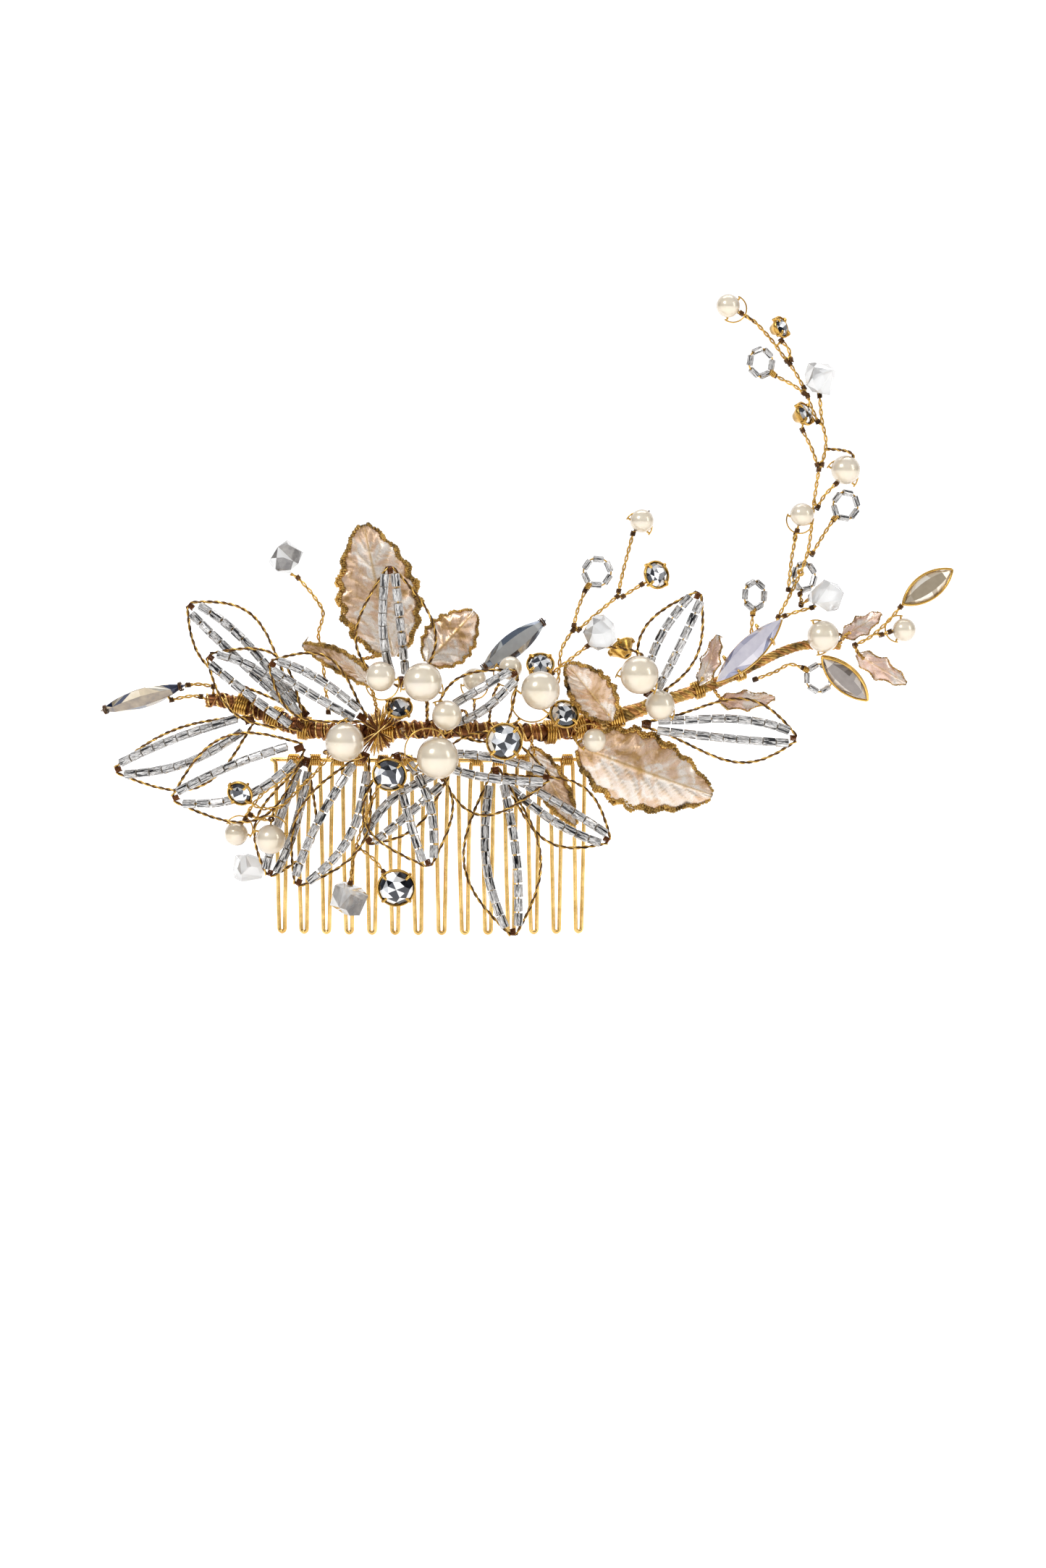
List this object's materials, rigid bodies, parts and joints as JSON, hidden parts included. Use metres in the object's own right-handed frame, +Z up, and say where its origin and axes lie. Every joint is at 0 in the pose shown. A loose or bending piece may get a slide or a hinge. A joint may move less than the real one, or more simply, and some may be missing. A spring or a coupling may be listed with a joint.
{
  "type": "decorative hair comb",
  "caption": "Gold wire hair comb with a wire-wrapped vine of beaded petals, enamelled leaves, pearls and faceted stones on twisted stems.",
  "frame": {"origin": "middle of the row of teeth, at the root of the teeth (mount tooth_row)", "axes": "+X along the comb, +Z up from the tooth tips to the decoration, -Y the decorated front"},
  "size_m": [0.1439, 0.0306, 0.1077],
  "materials": {
    "comb_wire": "bright gold plate",
    "gold_wire": "bright twisted wire",
    "copper_gold_wrap": "copper-gold wound wire",
    "gold_setting": "polished gold plate",
    "bugle_glass": "silver-lined clear glass",
    "pearl": "pearl lustre",
    "leaf_enamel": "champagne-pink pearl enamel with gold rim",
    "clear_stone": "faceted, foil backed",
    "smoky_stone": "faceted, smoky",
    "nugget_crystal": "clear, faceted"
  },
  "bodies": {
    "comb": {"comb_teeth": "comb_wire", "comb_spine": "comb_wire", "comb_lashing": "gold_wire", "vine_core": "copper_gold_wrap", "vine_wraps": "copper_gold_wrap", "petal_frame_1": "gold_wire", "petal_frame_2": "gold_wire", "petal_frame_3": "gold_wire", "petal_frame_4": "gold_wire", "petal_frame_5": "gold_wire", "petal_frame_6": "gold_wire", "petal_frame_7": "gold_wire", "petal_frame_8": "gold_wire", "petal_frame_9": "gold_wire", "petal_frame_10": "gold_wire", "petal_frame_11": "gold_wire", "petal_frame_12": "gold_wire", "petal_frame_13": "gold_wire", "petal_frame_14": "gold_wire", "petal_frame_15": "gold_wire", "petal_frame_16": "gold_wire", "petal_beads_1": "bugle_glass", "petal_beads_2": "bugle_glass", "petal_beads_3": "bugle_glass", "petal_beads_4": "bugle_glass", "petal_beads_5": "bugle_glass", "petal_beads_6": "bugle_glass", "petal_beads_7": "bugle_glass", "petal_beads_8": "bugle_glass", "petal_beads_9": "bugle_glass", "petal_beads_10": "bugle_glass", "petal_beads_11": "bugle_glass", "petal_beads_12": "bugle_glass", "petal_beads_13": "bugle_glass", "petal_beads_14": "bugle_glass", "petal_beads_15": "bugle_glass", "petal_beads_16": "bugle_glass", "small_pearls": "pearl", "pearl_bails": "gold_wire", "gold_leaf_1": "leaf_enamel", "gold_leaf_2": "leaf_enamel", "gold_leaf_3": "leaf_enamel", "gold_leaf_4": "leaf_enamel", "gold_leaf_5": "leaf_enamel", "gold_leaf_6": "leaf_enamel", "small_leaves": "leaf_enamel", "stone_cups": "gold_setting", "round_stones": "clear_stone", "navette_settings": "gold_setting", "navette_stones": "smoky_stone", "nugget_beads": "nugget_crystal", "bead_rings": "bugle_glass", "tall_stems": "gold_wire", "centre_stems": "gold_wire", "lower_stems": "gold_wire"},
    "pearl_1": {"turning_pearl_1": "pearl"},
    "pearl_2": {"turning_pearl_2": "pearl"},
    "pearl_3": {"turning_pearl_3": "pearl"},
    "pearl_4": {"turning_pearl_4": "pearl"},
    "pearl_5": {"turning_pearl_5": "pearl"}
  },
  "joints": [
    {"name": "pearl_1_turn", "type": "hinge", "parent": "comb", "child": "pearl_1", "pos_m": [0.0185, -0.00839, 0.013], "axis": [0.6428, 0, -0.766], "continuous": true},
    {"name": "pearl_2_turn", "type": "hinge", "parent": "comb", "child": "pearl_2", "pos_m": [0.035, -0.00534, 0.0155], "axis": [0.9397, 0, -0.342], "continuous": true},
    {"name": "pearl_3_turn", "type": "hinge", "parent": "comb", "child": "pearl_3", "pos_m": [-0.001, -0.01199, 0.0145], "axis": [0.9962, 0, -0.0872], "continuous": true},
    {"name": "pearl_4_turn", "type": "hinge", "parent": "comb", "child": "pearl_4", "pos_m": [0.0015, -0.01349, 0.002], "axis": [-0.342, 0, -0.9397], "continuous": true},
    {"name": "pearl_5_turn", "type": "hinge", "parent": "comb", "child": "pearl_5", "pos_m": [-0.014, -0.01029, 0.0045], "axis": [-0.342, 0, 0.9397], "continuous": true}
  ]
}
